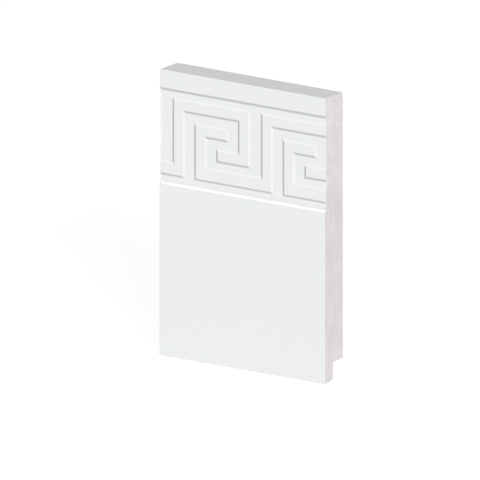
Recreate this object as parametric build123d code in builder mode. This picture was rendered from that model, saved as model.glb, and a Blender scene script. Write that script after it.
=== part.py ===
from build123d import *
import os

# A length of skirting board: a coated moulding with a Greek key between two long steps.
# X runs along the board, -Y is the face seen in the room, +Y goes against the wall, Z is up.
# The origin is at the middle of the bottom, and all sizes are in millimetres.

# The board as cut
length = 102.5
height = 150.0
thickness = 16.0

# The top band and the step under it, which goes back into the recessed band
top_band_height = 9.35
top_band_setback = 0.5
upper_step_height = 1.5

# The recessed band that carries the key, and the step under it, which comes forward again
band_setback = 1.15
upper_margin = 3.5
lower_margin = 4.35
lower_step_height = 0.5

# The key's rows, each measured to the middle of a sloped side
bar_height = 6.0
row_gap = 5.6
lower_row_gap = 4.6
bottom_bar_height = 6.75

# The key's columns, measured in the same way
bar_width = 6.5
column_gap = 7.0
tip_lap = 6.5
turn_gap = 7.8
key_end_offset = 81.1

# The raised hooks stand this far off the band, and their sides slope over this width
key_relief = 0.4
key_slope_width = 1.15

# The rebate along the bottom of the back, and the foot that is left in front of it
foot_thickness = 7.3
rebate_height = 10.0
rebate_ceiling_rise = 0.65
foot_undercut = 0.95

# The arrises along the board are only just eased
arris_radius = 0.2

os.makedirs("parts", exist_ok=True)

# Depths: the lower face is the front of the board, and every other face is set back from it
front_y = -thickness / 2
back_y = thickness / 2
band_y = front_y + band_setback
top_band_y = front_y + top_band_setback
foot_back_y = front_y + foot_thickness

# Rows of the key, from its upper edge down
key_rows = [height - top_band_height - upper_step_height - upper_margin]
for step in (bar_height, row_gap, bar_height, row_gap, bar_height, lower_row_gap, bottom_bar_height):
    key_rows.append(key_rows[-1] - step)

# Columns of one hook and the hook that follows it, from the first hook's left side
column_steps = (bar_width, column_gap, tip_lap, column_gap, bar_width, turn_gap, bar_width, column_gap)
key_columns = [0.0]
for step in column_steps + column_steps:
    key_columns.append(key_columns[-1] + step)
key_pitch = sum(column_steps)

# Heights of the steps, from the top down
upper_step_top = height - top_band_height
upper_step_bottom = upper_step_top - upper_step_height
lower_step_top = key_rows[-1] - lower_margin
lower_step_bottom = lower_step_top - lower_step_height


def hook_outline(left):
    """One hook, turned about its middle onto itself, with its left side at this place."""
    x = [left + column for column in key_columns]
    z = key_rows
    return [
        (x[0], z[2]), (x[3], z[2]), (x[3], z[3]), (x[1], z[3]),
        (x[1], z[6]), (x[6], z[6]), (x[6], z[0]), (x[13], z[0]),
        (x[13], z[5]), (x[10], z[5]), (x[10], z[4]), (x[12], z[4]),
        (x[12], z[1]), (x[7], z[1]), (x[7], z[7]), (x[0], z[7]),
    ]


# The moulding is made longer than the board and then sawn, so hooks run off both ends
first_hook_x = length / 2 - key_end_offset
hooks_left = int((first_hook_x + length / 2 + key_columns[13]) // key_pitch) + 1
hooks_right = int((length / 2 - first_hook_x) // key_pitch) + 1
hook_starts = [first_hook_x + key_pitch * i for i in range(-hooks_left, hooks_right + 1)]
moulding_left = hook_starts[0] - key_slope_width
moulding_right = hook_starts[-1] + key_columns[13] + key_slope_width

with BuildPart() as skirting_board:
    # The section, drawn looking along the board
    with BuildSketch(Plane.YZ.offset(moulding_left)) as section:
        with BuildLine():
            Polyline(
                (front_y, 0),
                (front_y, lower_step_bottom),
                (band_y, lower_step_top),
                (band_y, upper_step_bottom),
                (top_band_y, upper_step_top),
                (top_band_y, height),
                (back_y, height),
                (back_y, rebate_height + rebate_ceiling_rise),
                (foot_back_y, rebate_height),
                (foot_back_y, foot_undercut),
                close=True,
            )
        make_face()
        # In the sketch's own plane, X is the board's depth and Y its height
        top_corners = section.vertices().group_by(Axis.Y)[-1]
        lower_face_top = section.vertices().group_by(Axis.X)[0].sort_by(Axis.Y)[-1]
        fillet(top_corners + [lower_face_top], radius=arris_radius)
    extrude(amount=moulding_right - moulding_left)

    # The hooks, each from its foot on the band to its narrower face
    for hook_x in hook_starts:
        outline = hook_outline(hook_x)
        with BuildSketch(Plane.XZ.offset(-band_y)):
            with BuildLine():
                Polyline(outline, close=True)
            make_face()
            offset(amount=key_slope_width / 2, kind=Kind.INTERSECTION)
        with BuildSketch(Plane.XZ.offset(-band_y + key_relief)):
            with BuildLine():
                Polyline(outline, close=True)
            make_face()
            offset(amount=-key_slope_width / 2, kind=Kind.INTERSECTION, mode=Mode.REPLACE)
        loft(ruled=True)

    # The saw cuts
    split(bisect_by=Plane.YZ.offset(length / 2), keep=Keep.BOTTOM)
    split(bisect_by=Plane.YZ.offset(-length / 2), keep=Keep.TOP)

skirting_board.part.label = "skirting_board"
export_step(skirting_board.part, "parts/skirting_board.step")
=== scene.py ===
"""A cut length of skirting board with a raised Greek key, in satin white over a fibreboard core.

The board is one closed surface. Its section is a loop of points, carried along the board from one
saw cut to the other, and the band that holds the key is raised by a formula of length and height.
"""

import logging
import math
from dataclasses import dataclass, field
from enum import Enum, IntEnum

import bpy
import numpy as np
from mathutils import Matrix, Vector


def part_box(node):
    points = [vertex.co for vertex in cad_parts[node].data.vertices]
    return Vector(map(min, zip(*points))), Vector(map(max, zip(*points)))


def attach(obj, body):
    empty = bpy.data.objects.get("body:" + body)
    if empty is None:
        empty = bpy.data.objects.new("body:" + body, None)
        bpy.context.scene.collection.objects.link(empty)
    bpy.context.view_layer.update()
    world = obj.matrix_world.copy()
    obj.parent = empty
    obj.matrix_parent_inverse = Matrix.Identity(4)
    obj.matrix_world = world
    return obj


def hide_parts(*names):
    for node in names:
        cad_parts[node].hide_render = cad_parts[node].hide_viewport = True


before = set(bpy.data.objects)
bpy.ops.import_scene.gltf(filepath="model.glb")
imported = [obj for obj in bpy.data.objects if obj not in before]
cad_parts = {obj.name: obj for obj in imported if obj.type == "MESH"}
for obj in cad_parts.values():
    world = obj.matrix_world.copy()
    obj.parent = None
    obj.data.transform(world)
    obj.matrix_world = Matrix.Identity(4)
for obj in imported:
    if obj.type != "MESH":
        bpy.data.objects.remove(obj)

log = logging.getLogger("skirting_board")

MM = 0.001
NODE = "skirting_board"
PIECE = "white_key_skirting"
PAINTED_SHADE_MARK = "painted_shade_mask"

# The Mix node has a set of sockets for each kind of value, so its sockets go by number
SHARE = 0
FLOAT_A, FLOAT_B, FLOAT_OUT = 2, 3, 0
COLOUR_A, COLOUR_B, COLOUR_OUT = 6, 7, 2

# The key's column lines: one hook ends at its own line 13, and the next one starts at line 8
HOOK_END = 13
NEXT_HOOK = 8

# One hook's bars, each by its left and right column lines and its low and high row lines
BARS = (
    (0, 3, 3, 2),
    (0, 1, 7, 2),
    (0, 7, 7, 6),
    (6, 7, 7, 0),
    (6, 13, 1, 0),
    (12, 13, 5, 0),
    (10, 13, 5, 4),
)


def linear(code: str) -> tuple[float, float, float, float]:
    """Turns an sRGB hex colour into the linear colour that a shader takes.

    It is the sRGB standard's own curve, a straight line near black and a power above it.

    Args:
        code: six hex digits, with or without a leading hash sign.

    Returns:
        Red, green, blue and an alpha of 1.
    """
    digits = code.lstrip("#")
    channels = [int(digits[i:i + 2], 16) / 255 for i in (0, 2, 4)]
    red, green, blue = [
        c / 12.92 if c <= 0.04045 else ((c + 0.055) / 1.055) ** 2.4 for c in channels
    ]
    return (red, green, blue, 1.0)


def add_node(
    tree: bpy.types.NodeTree,
    kind: str,
    settings: dict[str, object] | None = None,
    inputs: dict[str | int, object] | None = None,
) -> bpy.types.Node:
    """Adds one node with its settings, values and links.

    Args:
        tree: the node tree that gets the node.
        kind: the node's type name.
        settings: properties of the node, by name.
        inputs: input sockets by name or number. An output socket is linked to its input, and
            anything else is the input's value.

    Returns:
        The new node.
    """
    node = tree.nodes.new(kind)
    for name, value in (settings or {}).items():
        setattr(node, name, value)
    for name, value in (inputs or {}).items():
        if isinstance(value, bpy.types.NodeSocket):
            tree.links.new(value, node.inputs[name])
        else:
            node.inputs[name].default_value = value
    return node


def empty_tree(owner: bpy.types.Material | bpy.types.World) -> bpy.types.NodeTree:
    """Turns on the nodes of a material or world and clears them.

    Args:
        owner: the material or world.

    Returns:
        Its node tree, with no nodes in it.
    """
    owner.use_nodes = True
    owner.node_tree.nodes.clear()
    return owner.node_tree


def pattern_scale(feature: float) -> float:
    """Gives a texture's scale from the real size of its features in metres."""
    return 1.0 / feature


class Face(Enum):
    """What each part of the board's surface is, numbered as its material slot."""

    COAT = 0
    CUT = 1
    RAW = 2


@dataclass(frozen=True)
class SatinLacquer:
    """Sprayed satin white lacquer: even and slightly bluish, with a soft sheen.

    Painted shade greys it on the key's slopes, along the top, and in the corner over the lower
    step. Spraying leaves it a faint peel, too shallow to see as more than softness.
    """

    colour: str = "#ECEEEF"
    # Grey of the painted shade on the key's slopes, along the top and in the corner over the lower
    # step
    painted_shade: str = "#D9DADC"
    roughness: float = 0.55
    ior: float = 1.5
    sheen_level: float = 0.3
    peel_spacing: float = 1.8 * MM
    peel_depth: float = 0.004 * MM

    def build(self) -> bpy.types.Material:
        """Makes the lacquer's material.

        Returns:
            The material.
        """
        material = bpy.data.materials.new("satin_white_lacquer")
        tree = empty_tree(material)
        place = add_node(tree, "ShaderNodeTexCoord").outputs["Object"]
        peel = add_node(
            tree,
            "ShaderNodeTexNoise",
            inputs={
                "Vector": place,
                "Scale": pattern_scale(self.peel_spacing),
                "Detail": 2.0,
                "Roughness": 0.5,
            },
        )
        bump = add_node(
            tree,
            "ShaderNodeBump",
            inputs={"Strength": 1.0, "Distance": self.peel_depth, "Height": peel.outputs["Fac"]},
        )
        # Painted shade: the mesh's mark mixes the grey into the coat
        mark = add_node(tree, "ShaderNodeAttribute", settings={"attribute_name": PAINTED_SHADE_MARK})
        colour = add_node(
            tree,
            "ShaderNodeMix",
            settings={"data_type": "RGBA"},
            inputs={
                SHARE: mark.outputs["Fac"],
                COLOUR_A: linear(self.colour),
                COLOUR_B: linear(self.painted_shade),
            },
        )
        shader = add_node(
            tree,
            "ShaderNodeBsdfPrincipled",
            inputs={
                "Base Color": colour.outputs[COLOUR_OUT],
                "Roughness": self.roughness,
                "IOR": self.ior,
                "Specular IOR Level": self.sheen_level,
                "Normal": bump.outputs["Normal"],
            },
        )
        add_node(tree, "ShaderNodeOutputMaterial", inputs={"Surface": shader.outputs["BSDF"]})
        return material


@dataclass(frozen=True)
class SawnFibreboard:
    """Fibreboard across a saw cut: pale pinkish grey, matt, with drawn fibres and white specks.

    The saw drags the fibres, which leaves upright streaks low down and short slanted dashes where
    the blade came through at the top. Broad upright patches are a little paler, and the foot is
    painted paler as painted light against the shade near the floor. Pale resin specks lie closest
    together along the top edge. Single fibres are under a tenth of a millimetre wide, too fine to
    show, so the grain, streaks and dashes are drawn as coarse as they need to be.

    A stretch is a pattern's scale along its lines, as a share of that across them. The paler values
    are added to the tone, which is dark at darkest_at and light at lightest_at. A speck's core and
    rim are shares of the specks' spacing, and bare cells are the share of places with no speck.
    """

    light: str = "#E6E2E2"
    dark: str = "#CBC7C6"
    speck: str = "#F0EDEC"
    roughness: float = 0.85
    ior: float = 1.45
    grain: float = 1.0 * MM
    grain_share: float = 0.6
    streak_width: float = 1.7 * MM
    streak_stretch: float = 0.2
    dash_width: float = 1.7 * MM
    dash_stretch: float = 0.4
    dash_slant: float = math.radians(38.0)
    dashes_from: float = 88 * MM
    dashes_to: float = 112 * MM
    dashes_paler: float = 0.07
    # Painted light: the foot's tone is raised against the shade near the floor
    painted_light_to: float = 40 * MM
    foot_painted_light: float = 0.06
    patch_width: float = 4.5 * MM
    patch_stretch: float = 0.4
    patch_share: float = 0.32
    darkest_at: float = 0.28
    lightest_at: float = 0.76
    speck_spacing: float = 1.6 * MM
    speck_core: float = 0.18
    speck_rim: float = 0.36
    specks_from: float = 126 * MM
    specks_to: float = 150 * MM
    bare_cells_below: float = 0.985
    bare_cells_at_top: float = 0.55
    depth: float = 0.03 * MM

    def fibres(
        self, tree: bpy.types.NodeTree, place: bpy.types.NodeSocket, upper: bpy.types.NodeSocket
    ) -> bpy.types.NodeSocket:
        """Draws the fibres: grain mixed with upright streaks low down and slanted dashes high up.

        Args:
            tree: the material's node tree.
            place: the place on the board.
            upper: 0 where the streaks are and 1 where the dashes are.

        Returns:
            The fibres' height, from 0 to 1.
        """
        upright = add_node(
            tree,
            "ShaderNodeMapping",
            inputs={"Vector": place, "Scale": (1.0, 1.0, self.streak_stretch)},
        )
        streaks = add_node(
            tree,
            "ShaderNodeTexNoise",
            inputs={
                "Vector": upright.outputs["Vector"],
                "Scale": pattern_scale(self.streak_width),
                "Detail": 2.0,
                "Roughness": 0.5,
                "Distortion": 0.3,
            },
        )
        turned = add_node(
            tree,
            "ShaderNodeMapping",
            inputs={"Vector": place, "Rotation": (self.dash_slant, 0.0, 0.0)},
        )
        slanted = add_node(
            tree,
            "ShaderNodeMapping",
            inputs={"Vector": turned.outputs["Vector"], "Scale": (1.0, 1.0, self.dash_stretch)},
        )
        dashes = add_node(
            tree,
            "ShaderNodeTexNoise",
            inputs={
                "Vector": slanted.outputs["Vector"],
                "Scale": pattern_scale(self.dash_width),
                "Detail": 1.0,
                "Roughness": 0.5,
            },
        )
        drawn = add_node(
            tree,
            "ShaderNodeMix",
            settings={"data_type": "FLOAT"},
            inputs={
                SHARE: upper,
                FLOAT_A: streaks.outputs["Fac"],
                FLOAT_B: dashes.outputs["Fac"],
            },
        )
        grain = add_node(
            tree,
            "ShaderNodeTexNoise",
            inputs={
                "Vector": place,
                "Scale": pattern_scale(self.grain),
                "Detail": 1.0,
                "Roughness": 0.5,
            },
        )
        mixed = add_node(
            tree,
            "ShaderNodeMix",
            settings={"data_type": "FLOAT"},
            inputs={
                SHARE: self.grain_share,
                FLOAT_A: drawn.outputs[FLOAT_OUT],
                FLOAT_B: grain.outputs["Fac"],
            },
        )
        return mixed.outputs[FLOAT_OUT]

    def tone(
        self,
        tree: bpy.types.NodeTree,
        place: bpy.types.NodeSocket,
        level: bpy.types.NodeSocket,
        upper: bpy.types.NodeSocket,
        fibres: bpy.types.NodeSocket,
    ) -> bpy.types.NodeSocket:
        """Works out how pale the fibreboard is, from its fibres, its patches and the height.

        Args:
            tree: the material's node tree.
            place: the place on the board.
            level: the height on the board.
            upper: 0 where the streaks are and 1 where the dashes are.
            fibres: the fibres' height, from 0 to 1.

        Returns:
            The tone, from 0 where it is darkest to 1 where it is lightest.
        """
        broad = add_node(
            tree,
            "ShaderNodeMapping",
            inputs={"Vector": place, "Scale": (1.0, 1.0, self.patch_stretch)},
        )
        patches = add_node(
            tree,
            "ShaderNodeTexNoise",
            inputs={
                "Vector": broad.outputs["Vector"],
                "Scale": pattern_scale(self.patch_width),
                "Detail": 1.0,
                "Roughness": 0.5,
            },
        )
        uneven = add_node(
            tree,
            "ShaderNodeMix",
            settings={"data_type": "FLOAT"},
            inputs={SHARE: self.patch_share, FLOAT_A: fibres, FLOAT_B: patches.outputs["Fac"]},
        )
        pale_top = add_node(
            tree,
            "ShaderNodeMath",
            settings={"operation": "MULTIPLY_ADD"},
            inputs={0: upper, 1: self.dashes_paler, 2: uneven.outputs[FLOAT_OUT]},
        )
        # Painted light: the foot is made paler against the shade near the floor
        lower = add_node(
            tree,
            "ShaderNodeMapRange",
            settings={"interpolation_type": "SMOOTHSTEP"},
            inputs={"Value": level, "From Min": self.painted_light_to, "From Max": 0.0},
        )
        painted_foot_light = add_node(
            tree,
            "ShaderNodeMath",
            settings={"operation": "MULTIPLY_ADD"},
            inputs={0: lower.outputs["Result"], 1: self.foot_painted_light, 2: pale_top.outputs["Value"]},
        )
        spread = add_node(
            tree,
            "ShaderNodeMapRange",
            inputs={
                "Value": painted_foot_light.outputs["Value"],
                "From Min": self.darkest_at,
                "From Max": self.lightest_at,
            },
        )
        return spread.outputs["Result"]

    def specks(
        self, tree: bpy.types.NodeTree, place: bpy.types.NodeSocket, level: bpy.types.NodeSocket
    ) -> bpy.types.NodeSocket:
        """Scatters the specks, one in each cell whose random number is over the bare cells' share.

        Args:
            tree: the material's node tree.
            place: the place on the board.
            level: the height on the board.

        Returns:
            The specks, 1 in their core and 0 past their rim.
        """
        cells = add_node(
            tree,
            "ShaderNodeTexVoronoi",
            inputs={"Vector": place, "Scale": pattern_scale(self.speck_spacing)},
        )
        near = add_node(
            tree,
            "ShaderNodeMapRange",
            inputs={
                "Value": cells.outputs["Distance"],
                "From Min": self.speck_rim,
                "From Max": self.speck_core,
            },
        )
        pick = add_node(tree, "ShaderNodeSeparateColor", inputs={"Color": cells.outputs["Color"]})
        bare = add_node(
            tree,
            "ShaderNodeMapRange",
            inputs={
                "Value": level,
                "From Min": self.specks_from,
                "From Max": self.specks_to,
                "To Min": self.bare_cells_below,
                "To Max": self.bare_cells_at_top,
            },
        )
        chosen = add_node(
            tree,
            "ShaderNodeMath",
            settings={"operation": "GREATER_THAN"},
            inputs={0: pick.outputs["Red"], 1: bare.outputs["Result"]},
        )
        specks = add_node(
            tree,
            "ShaderNodeMath",
            settings={"operation": "MULTIPLY"},
            inputs={0: near.outputs["Result"], 1: chosen.outputs["Value"]},
        )
        return specks.outputs["Value"]

    def build(self) -> bpy.types.Material:
        """Makes the material of the cut ends.

        Returns:
            The material.
        """
        material = bpy.data.materials.new("sawn_fibreboard")
        tree = empty_tree(material)
        place = add_node(tree, "ShaderNodeTexCoord").outputs["Object"]
        level = add_node(tree, "ShaderNodeSeparateXYZ", inputs={"Vector": place}).outputs["Z"]
        upper = add_node(
            tree,
            "ShaderNodeMapRange",
            settings={"interpolation_type": "SMOOTHSTEP"},
            inputs={"Value": level, "From Min": self.dashes_from, "From Max": self.dashes_to},
        ).outputs["Result"]
        fibres = self.fibres(tree, place, upper)
        base = add_node(
            tree,
            "ShaderNodeMix",
            settings={"data_type": "RGBA"},
            inputs={
                SHARE: self.tone(tree, place, level, upper, fibres),
                COLOUR_A: linear(self.dark),
                COLOUR_B: linear(self.light),
            },
        )
        colour = add_node(
            tree,
            "ShaderNodeMix",
            settings={"data_type": "RGBA"},
            inputs={
                SHARE: self.specks(tree, place, level),
                COLOUR_A: base.outputs[COLOUR_OUT],
                COLOUR_B: linear(self.speck),
            },
        )
        bump = add_node(
            tree,
            "ShaderNodeBump",
            inputs={"Strength": 1.0, "Distance": self.depth, "Height": fibres},
        )
        shader = add_node(
            tree,
            "ShaderNodeBsdfPrincipled",
            inputs={
                "Base Color": colour.outputs[COLOUR_OUT],
                "Roughness": self.roughness,
                "IOR": self.ior,
                "Normal": bump.outputs["Normal"],
            },
        )
        add_node(tree, "ShaderNodeOutputMaterial", inputs={"Surface": shader.outputs["BSDF"]})
        return material


@dataclass(frozen=True)
class SandedFibreboard:
    """Sanded fibreboard, on the back, the rebate and the foot: warm grey, matt, with fine lines.

    The sander's lines run along the board. They are about a tenth of a millimetre wide, too fine
    to show, so they are drawn as coarse as they need to be. The stretch is their scale along the
    board, as a share of that across it. The mix of grain and lines is dark at darkest_at and light
    at lightest_at.
    """

    light: str = "#DFDBD8"
    dark: str = "#D3CECA"
    roughness: float = 0.75
    ior: float = 1.45
    grain: float = 1.2 * MM
    sanding: float = 0.5 * MM
    sanding_stretch: float = 0.03
    sanding_share: float = 0.4
    darkest_at: float = 0.36
    lightest_at: float = 0.64
    depth: float = 0.02 * MM

    def build(self) -> bpy.types.Material:
        """Makes the material of the uncoated faces.

        Returns:
            The material.
        """
        material = bpy.data.materials.new("sanded_fibreboard")
        tree = empty_tree(material)
        place = add_node(tree, "ShaderNodeTexCoord").outputs["Object"]
        grain = add_node(
            tree,
            "ShaderNodeTexNoise",
            inputs={
                "Vector": place,
                "Scale": pattern_scale(self.grain),
                "Detail": 3.0,
                "Roughness": 0.65,
            },
        )
        stretched = add_node(
            tree,
            "ShaderNodeMapping",
            inputs={"Vector": place, "Scale": (self.sanding_stretch, 1.0, 1.0)},
        )
        lines = add_node(
            tree,
            "ShaderNodeTexNoise",
            inputs={
                "Vector": stretched.outputs["Vector"],
                "Scale": pattern_scale(self.sanding),
                "Detail": 1.0,
            },
        )
        mixed = add_node(
            tree,
            "ShaderNodeMix",
            settings={"data_type": "FLOAT"},
            inputs={
                SHARE: self.sanding_share,
                FLOAT_A: grain.outputs["Fac"],
                FLOAT_B: lines.outputs["Fac"],
            },
        )
        spread = add_node(
            tree,
            "ShaderNodeMapRange",
            inputs={
                "Value": mixed.outputs[FLOAT_OUT],
                "From Min": self.darkest_at,
                "From Max": self.lightest_at,
            },
        )
        colour = add_node(
            tree,
            "ShaderNodeMix",
            settings={"data_type": "RGBA"},
            inputs={
                SHARE: spread.outputs["Result"],
                COLOUR_A: linear(self.dark),
                COLOUR_B: linear(self.light),
            },
        )
        bump = add_node(
            tree,
            "ShaderNodeBump",
            inputs={
                "Strength": 1.0,
                "Distance": self.depth,
                "Height": mixed.outputs[FLOAT_OUT],
            },
        )
        shader = add_node(
            tree,
            "ShaderNodeBsdfPrincipled",
            inputs={
                "Base Color": colour.outputs[COLOUR_OUT],
                "Roughness": self.roughness,
                "IOR": self.ior,
                "Normal": bump.outputs["Normal"],
            },
        )
        add_node(tree, "ShaderNodeOutputMaterial", inputs={"Surface": shader.outputs["BSDF"]})
        return material


@dataclass(frozen=True)
class GreekKey:
    """The raised key: one hook of seven bars, repeated along the board at a fixed pitch.

    Its rows and columns are measured to the middle of the bars' sloped sides. The softness, the
    painted shade's reach past the slope and the mid spread are shares of the slope's width.
    """

    bar_height: float = 6.0 * MM
    row_gap: float = 5.6 * MM
    lower_row_gap: float = 4.6 * MM
    bottom_bar_height: float = 6.75 * MM
    bar_width: float = 6.5 * MM
    column_gap: float = 7.0 * MM
    tip_lap: float = 6.5 * MM
    turn_gap: float = 7.8 * MM
    end_offset: float = 81.1 * MM
    relief: float = 0.4 * MM
    slope_width: float = 1.15 * MM
    softness: float = 0.1
    # How far the painted shade reaches past the slope, as a share of its width
    painted_shade_reach: float = 0.25
    mid_spread: float = 0.2

    def rows(self, top: float) -> np.ndarray:
        """Adds up the heights of the key's row lines.

        Args:
            top: height of the key's first row line.

        Returns:
            The heights of the eight row lines, from the top down.
        """
        steps = [self.bar_height, self.row_gap, self.bar_height, self.row_gap, self.bar_height]
        steps += [self.lower_row_gap, self.bottom_bar_height]
        return top - np.concatenate([[0.0], np.cumsum(steps)])

    def columns(self) -> np.ndarray:
        """Adds up the column lines of one hook and the hook after it.

        Returns:
            The lines' distances from the first hook's left side.
        """
        steps = [self.bar_width, self.column_gap, self.tip_lap, self.column_gap]
        steps += [self.bar_width, self.turn_gap, self.bar_width, self.column_gap]
        return np.concatenate([[0.0], np.cumsum(steps * 2)])

    def pitch(self) -> float:
        """Gives the length from one hook to the next."""
        return float(self.columns()[NEXT_HOOK])

    def hook_starts(self, left: float, right: float) -> np.ndarray:
        """Finds every hook that shows between the two ends.

        Args:
            left: the board's left end.
            right: the board's right end.

        Returns:
            The hooks' left sides.
        """
        first = right - self.end_offset
        reach = self.columns()[HOOK_END] + self.slope_width
        before = math.ceil((first + reach - left) / self.pitch())
        after = math.floor((right - first + self.slope_width) / self.pitch())
        return first + self.pitch() * np.arange(-before, after + 1)

    def bars(self, top: float) -> np.ndarray:
        """Looks up the sides of one hook's bars.

        Args:
            top: height of the key's first row line.

        Returns:
            Each bar's left and right sides, from the hook's left side, and its low and high ones.
        """
        left, right, low, high = np.array(BARS).T
        column, row = self.columns(), self.rows(top)
        return np.stack([column[left], column[right], row[low], row[high]], axis=1)

    def climb(
        self, x: np.ndarray, z: np.ndarray, top: float, left: float, right: float
    ) -> tuple[np.ndarray, np.ndarray]:
        """Gives how far up the key's slope each place lies: 0 at its foot, 1 at its top.

        A bar's depth at a point is the least of its distances to the bar's four sides, negative
        outside it, and the key's depth is the greatest of all its bars'. That keeps every corner
        mitred, inside and outside. The climb is that depth over the slope's width, plus a half,
        because the slope is centred on the bar's side.

        Args:
            x: places along the board.
            z: heights on the board.
            top: height of the key's first row line.
            left: the board's left end.
            right: the board's right end.

        Returns:
            The climb, with the shape of x and z, below 0 on the band and above 1 on the bars, and a
            mark where the bar's nearest side is an upright one.
        """
        inside = np.full(np.broadcast(x, z).shape, -np.inf)
        upright = np.zeros(inside.shape, dtype=bool)
        for start in self.hook_starts(left, right):
            for low_x, high_x, low_z, high_z in self.bars(top):
                sideways = np.minimum(x - start - low_x, start + high_x - x)
                endways = np.minimum(z - low_z, high_z - z)
                depth = np.minimum(sideways, endways)
                upright = np.where(depth > inside, sideways < endways, upright)
                inside = np.maximum(inside, depth)
        return inside / self.slope_width + 0.5, upright

    def height(self, climb: np.ndarray) -> np.ndarray:
        """Gives the raised height: straight up the slope, softly bent at its foot and top."""
        return self.relief * (self._bend(climb) - self._bend(climb - 1.0))

    def painted_shade_mask(self, climb: np.ndarray) -> np.ndarray:
        """Gives the painted shade on the slope: 1 there, and 0 past its reach from it."""
        outside = np.abs(climb - 0.5) - 0.5 + self.softness
        return np.clip(1.0 - outside / (self.softness + self.painted_shade_reach), 0.0, 1.0)

    def _bend(self, t: np.ndarray) -> np.ndarray:
        """Bends a line softly where it leaves nought.

        It is 0 below nought and t above it, joined by a parabola as wide as the softness each way:
        the square of t plus the softness, over four times the softness.

        Args:
            t: places on the line, 0 at the bend.

        Returns:
            The bent line's values.
        """
        soft = self.softness
        middle = (t + soft) ** 2 / (4 * soft)
        return np.where(t < -soft, 0.0, np.where(t > soft, t, middle))

    def stations(self, lines: np.ndarray) -> np.ndarray:
        """Sets grid places that follow the slope at each line.

        Args:
            lines: the row or column lines, at the middle of their slopes.

        Returns:
            The places in order: round each slope's two bends, about its middle, and a guard at the
            painted shade's reach each side.
        """
        soft, mid = self.softness, self.mid_spread
        bend = np.array([-soft, -soft / 3, soft / 3, soft])
        reach = 0.5 + self.painted_shade_reach
        shares = np.concatenate([[-reach], bend - 0.5, [-mid, 0.0, mid], bend + 0.5, [reach]])
        return np.sort((lines[:, None] + shares[None, :] * self.slope_width).ravel())


@dataclass(frozen=True)
class Corner:
    """One corner of the board's section: its depth, height and rounding radius."""

    y: float
    z: float
    radius: float


class Part(IntEnum):
    """The parts of the section's loop that its methods name, by their place in it."""

    BAND_FOOT = 2
    BAND = 3
    TOP_FRONT = 6
    TOP_BACK = 7


@dataclass(frozen=True)
class Section:
    """The board's section: one closed loop of depths and heights, with what holds at each point.

    A point moves along its outward direction when the section's sides all move out by 1. It may lie
    on the band that carries the key, it may carry painted shade, from 0 to 1, and the stretch
    that starts there may be coated.
    """

    loop: np.ndarray
    outward: np.ndarray
    on_band: np.ndarray
    painted_shade: np.ndarray
    coated: np.ndarray


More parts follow.
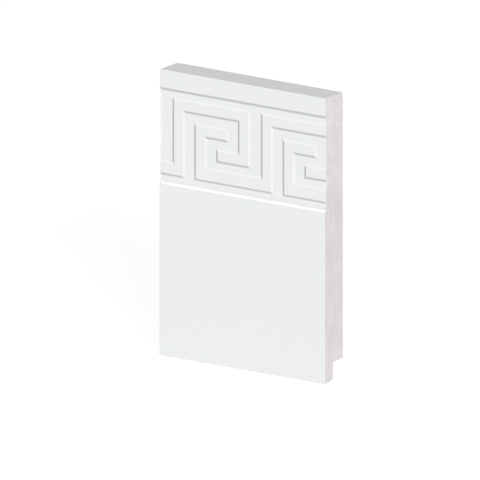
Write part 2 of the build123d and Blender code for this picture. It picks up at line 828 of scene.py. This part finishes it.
@dataclass
class SkirtingBoard:
    """The board: its section, its key, its saw-cut ends and their finishes.

    A painted shade greys the coat, from 0 to 1, on the slopes of the key's level and upright sides,
    and in the corner over the lower step. The guard is the distance from an arc to the point
    that holds the flat beside it, and places along the board keep at least the closest apart.
    """

    low: Vector
    high: Vector
    key: GreekKey = field(default_factory=GreekKey)
    top_band_height: float = 9.35 * MM
    top_band_setback: float = 0.5 * MM
    upper_step_height: float = 1.5 * MM
    band_setback: float = 1.15 * MM
    upper_margin: float = 3.5 * MM
    lower_margin: float = 4.35 * MM
    lower_step_height: float = 0.5 * MM
    foot_thickness: float = 7.3 * MM
    rebate_height: float = 10.0 * MM
    rebate_ceiling_rise: float = 0.65 * MM
    foot_undercut: float = 0.95 * MM
    arris: float = 0.2 * MM
    guard: float = 0.08 * MM
    closest: float = 0.01 * MM
    end_arris: float = 0.06 * MM
    coat_thickness: float = 0.05 * MM
    # Painted shade: how much the coat greys on the key's slopes and in the corner over the lower
    # step
    level_painted_shade: float = 0.68
    upright_painted_shade: float = 0.88
    corner_painted_shade: float = 0.7
    arc_steps: int = 5

    def key_top(self) -> float:
        """Gives the height of the key's first row line."""
        return self.high.z - self.top_band_height - self.upper_step_height - self.upper_margin

    def corners(self) -> list[Corner]:
        """Places the section's corners: up the front, over the top, down the back, under the foot.

        Returns:
            The corners in order, starting at the front of the foot.
        """
        front = self.low.y
        back = self.high.y
        band = front + self.band_setback
        top_band = front + self.top_band_setback
        foot_back = front + self.foot_thickness
        step_top = float(self.key.rows(self.key_top())[-1]) - self.lower_margin
        upper_step_top = self.high.z - self.top_band_height
        ceiling = self.low.z + self.rebate_height
        return [
            Corner(front, self.low.z, self.end_arris),
            Corner(front, step_top - self.lower_step_height, self.arris),
            Corner(band, step_top, self.arris),
            Corner(band, upper_step_top - self.upper_step_height, self.arris),
            Corner(top_band, upper_step_top, self.arris),
            Corner(top_band, self.high.z, self.arris),
            Corner(back, self.high.z, self.arris),
            Corner(back, ceiling + self.rebate_ceiling_rise, self.arris),
            Corner(foot_back, ceiling, self.arris),
            Corner(foot_back, self.low.z + self.foot_undercut, self.arris),
        ]

    def ways(self, before: Corner, corner: Corner, after: Corner) -> tuple[np.ndarray, np.ndarray]:
        """Gives the directions in which the section comes to a corner and leaves it.

        Args:
            before: the corner before it.
            corner: the corner.
            after: the corner after it.

        Returns:
            The way in and the way out, each a unit vector of depth and height.
        """
        here = np.array([corner.y, corner.z])
        way_in = here - np.array([before.y, before.z])
        way_out = np.array([after.y, after.z]) - here
        return way_in / np.linalg.norm(way_in), way_out / np.linalg.norm(way_out)

    def mitre(self, way_in: np.ndarray, way_out: np.ndarray) -> np.ndarray:
        """Gives how a corner moves when its two sides move out by 1.

        That is the sum of the sides' outward directions over one plus their dot product.

        Args:
            way_in: the way in to the corner.
            way_out: the way out of it.

        Returns:
            The move, as depth and height.
        """
        first = np.array([-way_in[1], way_in[0]])
        second = np.array([-way_out[1], way_out[0]])
        return (first + second) / (1.0 + float(first @ second))

    def rounded(self, corner: Corner, way_in: np.ndarray, way_out: np.ndarray) -> np.ndarray:
        """Rounds one corner of the section.

        The arc starts one tangent length before the corner, where that length is the radius times
        the tangent of half the turn, and each point lies at the start, plus the radius times the
        sine of its angle along the way in, plus the radius times one minus its cosine across it.

        Args:
            corner: the corner to round.
            way_in: the way in to it.
            way_out: the way out of it.

        Returns:
            Depths and heights along the arc, with a guard point before and after it.
        """
        here = np.array([corner.y, corner.z])
        across = np.array([-way_in[1], way_in[0]])
        turn = math.atan2(float(across @ way_out), float(way_in @ way_out))
        side = math.copysign(1.0, turn) * across
        tangent = corner.radius * math.tan(abs(turn) / 2)
        angle = np.linspace(0.0, abs(turn), self.arc_steps + 1)[:, None]
        start = here - way_in * tangent
        arc = start + corner.radius * (np.sin(angle) * way_in + (1 - np.cos(angle)) * side)
        before = start - way_in * self.guard
        after = here + way_out * (tangent + self.guard)
        return np.vstack([before, arc, after])

    def section(self) -> Section:
        """Works out the section, which is coated from the foot's front arris to the top's back one.

        Painted shade greys the coat along the top, and in the corner where the band meets the lower
        step.

        Returns:
            The section.
        """
        corners = self.corners()
        afters = corners[1:] + corners[:1]
        ways = [self.ways(corners[i - 1], corner, afters[i]) for i, corner in enumerate(corners)]
        pieces = [self.rounded(corner, *way) for corner, way in zip(corners, ways)]
        moves = [self.mitre(*way) for way in ways]
        heights = self.key.stations(self.key.rows(self.key_top()))
        depths = np.full_like(heights, corners[Part.BAND_FOOT].y)
        pieces.insert(Part.BAND, np.stack([depths, heights], axis=1))
        moves.insert(Part.BAND, np.array([-1.0, 0.0]))
        part = np.repeat(np.arange(len(pieces)), [len(piece) for piece in pieces])
        top_front, top_back = np.searchsorted(part, [Part.TOP_FRONT, Part.TOP_BACK])
        # The coat starts and stops at the middle of an arc, which comes after a guard point
        order = np.arange(len(part)) - (1 + self.arc_steps // 2)
        coated = (order >= 0) & (order < top_back)
        # Painted shade: a greyer coat in the corner over the lower step, and along the top so it
        # reads darker
        painted_shade = np.where(part == Part.BAND_FOOT, self.corner_painted_shade, 0.0)
        painted_shade[coated & (order >= top_front)] = 1.0
        return Section(np.vstack(pieces), np.array(moves)[part], part == Part.BAND, painted_shade, coated)

    def lengthwise(self) -> np.ndarray:
        """Sets the places along the board where its section is laid, between its end arrises.

        Returns:
            The places in order: each end, its guard, and the stations of the key's upright slopes.
        """
        left = self.low.x + self.end_arris
        right = self.high.x - self.end_arris
        starts = self.key.hook_starts(self.low.x, self.high.x)
        lines = (starts[:, None] + self.key.columns()[None, :HOOK_END + 1]).ravel()
        # A tenth of a micrometre is close enough for the lines that two hooks share
        inner = self.key.stations(np.unique(np.round(lines, decimals=7)))
        near = 2 * self.guard
        inner = inner[(inner > left + near) & (inner < right - near)]
        places = np.concatenate([[left, left + self.guard], inner, [right - self.guard, right]])
        apart = np.concatenate([[True], np.diff(places) > self.closest])
        return places[apart]

    def end_rings(self, ring: np.ndarray, outward: np.ndarray, side: float) -> np.ndarray:
        """Gives the rings that turn one end's arris and lie in its saw cut.

        The arris is a quarter circle: a ring moves out by the radius times the sine of its angle,
        and its sides move in by the radius times one minus its cosine. The last ring lies in the
        cut, with its sides in by the coat's thickness too.

        Args:
            ring: the last ring of the board's length.
            outward: the section's outward directions.
            side: -1 at the left end and 1 at the right.

        Returns:
            The rings in order, going outwards.
        """
        angle = np.linspace(0.0, math.pi / 2, self.arc_steps)[1:]
        out = np.append(np.sin(angle), 1.0) * self.end_arris
        rim = 1 + self.coat_thickness / self.end_arris
        inwards = np.append(1 - np.cos(angle), rim) * self.end_arris
        moved = ring[None, :, 1:] - inwards[:, None, None] * outward[None]
        x = np.broadcast_to(ring[None, :, 0] + side * out[:, None], moved.shape[:2])
        return np.concatenate([x[:, :, None], moved], axis=2)

    def shell(self) -> tuple[np.ndarray, np.ndarray, np.ndarray]:
        """Works out the board's whole outside as rings of points, from one cut to the other.

        Each ring is the section at one place along the board, its band raised by the key. The end
        rings follow the first and the last of them.

        Returns:
            The points by ring and place on the ring, the painted shade at each of them, and the
            marks of the coated stretches.
        """
        section = self.section()
        places = self.lengthwise()
        x = np.repeat(places[:, None], len(section.loop), axis=1)
        y = np.repeat(section.loop[None, :, 0], len(places), axis=0)
        z = np.repeat(section.loop[None, :, 1], len(places), axis=0)
        climb, upright = self.key.climb(x, z, self.key_top(), self.low.x, self.high.x)
        y = y - np.where(section.on_band, self.key.height(climb), 0.0)
        # Painted shade on the key's slopes: a greyer coat that deepens the dark lines and dims the
        # light ones
        painted_shade_strength = np.where(upright, self.upright_painted_shade, self.level_painted_shade)
        painted_shade = np.where(section.on_band, painted_shade_strength * self.key.painted_shade_mask(climb), section.painted_shade)
        rings = np.stack([x, y, z], axis=2)
        left = self.end_rings(rings[0], section.outward, -1.0)
        right = self.end_rings(rings[-1], section.outward, 1.0)
        painted_shade_left = np.repeat(painted_shade[:1], len(left), axis=0)
        painted_shade_right = np.repeat(painted_shade[-1:], len(right), axis=0)
        rings = np.concatenate([left[::-1], rings, right])
        return rings, np.concatenate([painted_shade_left, painted_shade, painted_shade_right]), section.coated

    def faces(self, rings: np.ndarray, coated: np.ndarray) -> tuple[list[list[int]], list[int]]:
        """Joins the rings with triangles and closes each end with one flat face.

        Each square of the grid is cut along the diagonal whose ends differ most in depth, which is
        the way that the key's mitres run.

        Args:
            rings: points by ring and place on the ring.
            coated: a mark for each stretch of the loop that carries the coat.

        Returns:
            The faces as lists of point numbers, and each face's material number.
        """
        count, around = rings.shape[:2]
        number = np.arange(count * around).reshape(count, around)
        near, far = number[:-1], number[1:]
        near_on, far_on = np.roll(near, -1, axis=1), np.roll(far, -1, axis=1)
        depth = rings[:, :, 1].ravel()
        along_first = np.abs(depth[near] - depth[far_on]) >= np.abs(depth[far] - depth[near_on])
        first = np.stack([near, far_on, near_on, near, far, far_on], axis=-1)
        second = np.stack([near, far, near_on, far, far_on, near_on], axis=-1)
        triangles = np.where(along_first[:, :, None], first, second).reshape(-1, 3)
        kinds = np.where(coated, Face.COAT.value, Face.RAW.value)
        kinds = np.repeat(np.tile(kinds, count - 1), 2)
        ends = [number[0].tolist(), number[-1][::-1].tolist()]
        return triangles.tolist() + ends, kinds.tolist() + [Face.CUT.value] * len(ends)

    def build(self) -> bpy.types.Object:
        """Makes the board's mesh and object, with its finishes.

        Returns:
            The finished object.
        """
        rings, painted_shade, coated = self.shell()
        faces, kinds = self.faces(rings, coated)
        mesh = bpy.data.meshes.new(PIECE)
        mesh.from_pydata(rings.reshape(-1, 3).tolist(), [], faces)
        mesh.polygons.foreach_set("material_index", kinds)
        mesh.polygons.foreach_set("use_smooth", np.ones(len(faces), dtype=bool))
        marks = mesh.attributes.new(PAINTED_SHADE_MARK, "FLOAT", "POINT")
        marks.data.foreach_set("value", painted_shade.ravel())
        for finish in (SatinLacquer(), SawnFibreboard(), SandedFibreboard()):
            mesh.materials.append(finish.build())
        mesh.update()
        board = bpy.data.objects.new(PIECE, mesh)
        bpy.context.scene.collection.objects.link(board)
        return board


@dataclass
class Studio:
    """The white surroundings, a lamp before the board and one behind it, and the camera.

    The camera looks from the photograph's angle. The lamps' angles go round the board from its
    front towards its right, and their strengths are in watts per square metre.
    """

    low: Vector
    high: Vector
    azimuth: float = math.radians(35.0)
    elevation: float = math.radians(14.8)
    picture: float = 480.0
    pixels_per_metre: float = 1968.0
    corner_pixel: tuple[float, float] = (324.75, 384.2)
    camera_distance: float = 2.0
    floor_size: float = 8.0
    front_strength: float = 4.975
    front_azimuth: float = math.radians(46.2)
    front_elevation: float = math.radians(27.7)
    front_width: float = math.radians(12.0)
    back_strength: float = 3.9
    back_azimuth: float = math.radians(228.0)
    back_elevation: float = math.radians(1.5)
    back_width: float = math.radians(3.0)
    ambient: float = 0.02
    floor_glow: float = 0.972
    floor_grey: float = 0.05

    def direction(self, azimuth: float, elevation: float) -> Vector:
        """Gives the unit vector from the board to something at those angles round it."""
        flat = math.cos(elevation)
        return Vector((math.sin(azimuth) * flat, -math.cos(azimuth) * flat, math.sin(elevation)))

    def seen_directly(self, tree: bpy.types.NodeTree) -> bpy.types.NodeSocket:
        """Tells the rays that see a thing from those that are lit by it.

        Args:
            tree: the node tree that gets the nodes.

        Returns:
            1 where a ray comes from the camera or through a reflection or clear matter, or else 0.
        """
        path = add_node(tree, "ShaderNodeLightPath")
        either = add_node(
            tree,
            "ShaderNodeMath",
            settings={"operation": "MAXIMUM"},
            inputs={0: path.outputs["Is Camera Ray"], 1: path.outputs["Is Glossy Ray"]},
        )
        seen = add_node(
            tree,
            "ShaderNodeMath",
            settings={"operation": "MAXIMUM"},
            inputs={0: either.outputs["Value"], 1: path.outputs["Is Transmission Ray"]},
        )
        return seen.outputs["Value"]

    def world(self) -> None:
        """Makes the world white to the eye and dim as a light."""
        world = bpy.data.worlds.new("white_surroundings")
        bpy.context.scene.world = world
        tree = empty_tree(world)
        strength = add_node(
            tree,
            "ShaderNodeMapRange",
            inputs={"Value": self.seen_directly(tree), "To Min": self.ambient, "To Max": 1.0},
        )
        light = add_node(
            tree,
            "ShaderNodeBackground",
            inputs={"Color": linear("#FFFFFF"), "Strength": strength.outputs["Result"]},
        )
        add_node(tree, "ShaderNodeOutputWorld", inputs={"Surface": light.outputs["Background"]})

    def floor(self) -> bpy.types.Object:
        """Lays the pale floor, which the eye sees as white apart from the board's soft shadow.

        Returns:
            The floor's object.
        """
        half = self.floor_size / 2
        corners = [(-half, -half), (half, -half), (half, half), (-half, half)]
        mesh = bpy.data.meshes.new("floor")
        mesh.from_pydata([(x, y, self.low.z) for x, y in corners], [], [(0, 1, 2, 3)])
        material = bpy.data.materials.new("white_floor")
        tree = empty_tree(material)
        matte = add_node(
            tree,
            "ShaderNodeBsdfDiffuse",
            inputs={"Color": (self.floor_grey, self.floor_grey, self.floor_grey, 1.0)},
        )
        glow = add_node(
            tree,
            "ShaderNodeMapRange",
            inputs={"Value": self.seen_directly(tree), "To Min": 0.0, "To Max": self.floor_glow},
        )
        light = add_node(
            tree,
            "ShaderNodeEmission",
            inputs={"Color": linear("#FFFFFF"), "Strength": glow.outputs["Result"]},
        )
        both = add_node(
            tree,
            "ShaderNodeAddShader",
            inputs={0: matte.outputs["BSDF"], 1: light.outputs["Emission"]},
        )
        add_node(tree, "ShaderNodeOutputMaterial", inputs={"Surface": both.outputs["Shader"]})
        mesh.materials.append(material)
        floor = bpy.data.objects.new("floor", mesh)
        bpy.context.scene.collection.objects.link(floor)
        return floor

    def lamp(
        self, name: str, azimuth: float, elevation: float, strength: float, width: float
    ) -> bpy.types.Object:
        """Hangs one far lamp that shines at the board and isn't reflected in it.

        Args:
            name: the lamp's name.
            azimuth: its angle round the board.
            elevation: its angle above the floor.
            strength: its light.
            width: the angle it takes up from the board, which sets how soft its shadows are.

        Returns:
            The lamp's object.
        """
        light = bpy.data.lights.new(name, "SUN")
        light.energy = strength
        light.angle = width
        lamp = bpy.data.objects.new(name, light)
        lamp.visible_glossy = False
        towards = self.direction(azimuth, elevation)
        turn = towards.to_track_quat("Z", "Y").to_matrix().to_4x4()
        lamp.matrix_world = Matrix.Translation(towards) @ turn
        bpy.context.scene.collection.objects.link(lamp)
        return lamp

    def camera(self) -> None:
        """Places the camera so that the board's front bottom right corner meets its pixel.

        The view is parallel, as the photograph's is. The corner's offset across and up the picture
        is taken from its pixel, and the camera stands off the point that is left in the middle.
        """
        away = self.direction(self.azimuth, self.elevation)
        turn = away.to_track_quat("Z", "Y")
        across = turn @ Vector((1.0, 0.0, 0.0))
        up = turn @ Vector((0.0, 1.0, 0.0))
        corner = Vector((self.high.x, self.low.y, self.low.z))
        right = (self.corner_pixel[0] - self.picture / 2) / self.pixels_per_metre
        rise = (self.picture / 2 - self.corner_pixel[1]) / self.pixels_per_metre
        data = bpy.data.cameras.new("camera")
        data.type = "ORTHO"
        data.ortho_scale = self.picture / self.pixels_per_metre
        data.clip_end = 2 * self.camera_distance + self.floor_size
        camera = bpy.data.objects.new("camera", data)
        place = corner - across * right - up * rise + away * self.camera_distance
        camera.matrix_world = Matrix.Translation(place) @ turn.to_matrix().to_4x4()
        bpy.context.scene.collection.objects.link(camera)
        bpy.context.scene.camera = camera

    def build(self) -> None:
        """Sets the whole studio up."""
        self.world()
        self.floor()
        self.lamp(
            "front_lamp",
            self.front_azimuth,
            self.front_elevation,
            self.front_strength,
            self.front_width,
        )
        self.lamp(
            "back_lamp",
            self.back_azimuth,
            self.back_elevation,
            self.back_strength,
            self.back_width,
        )
        self.camera()
        bpy.context.scene.view_settings.view_transform = "Standard"


def main() -> None:
    """Builds the board and its studio."""
    logging.basicConfig(level=logging.INFO, format="%(message)s")
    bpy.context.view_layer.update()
    low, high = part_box(NODE)
    board = SkirtingBoard(low, high).build()
    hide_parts(NODE)
    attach(board, "root")
    log.info("%s: %d faces", board.name, len(board.data.polygons))
    Studio(low, high).build()


if __name__ == "__main__":
    main()
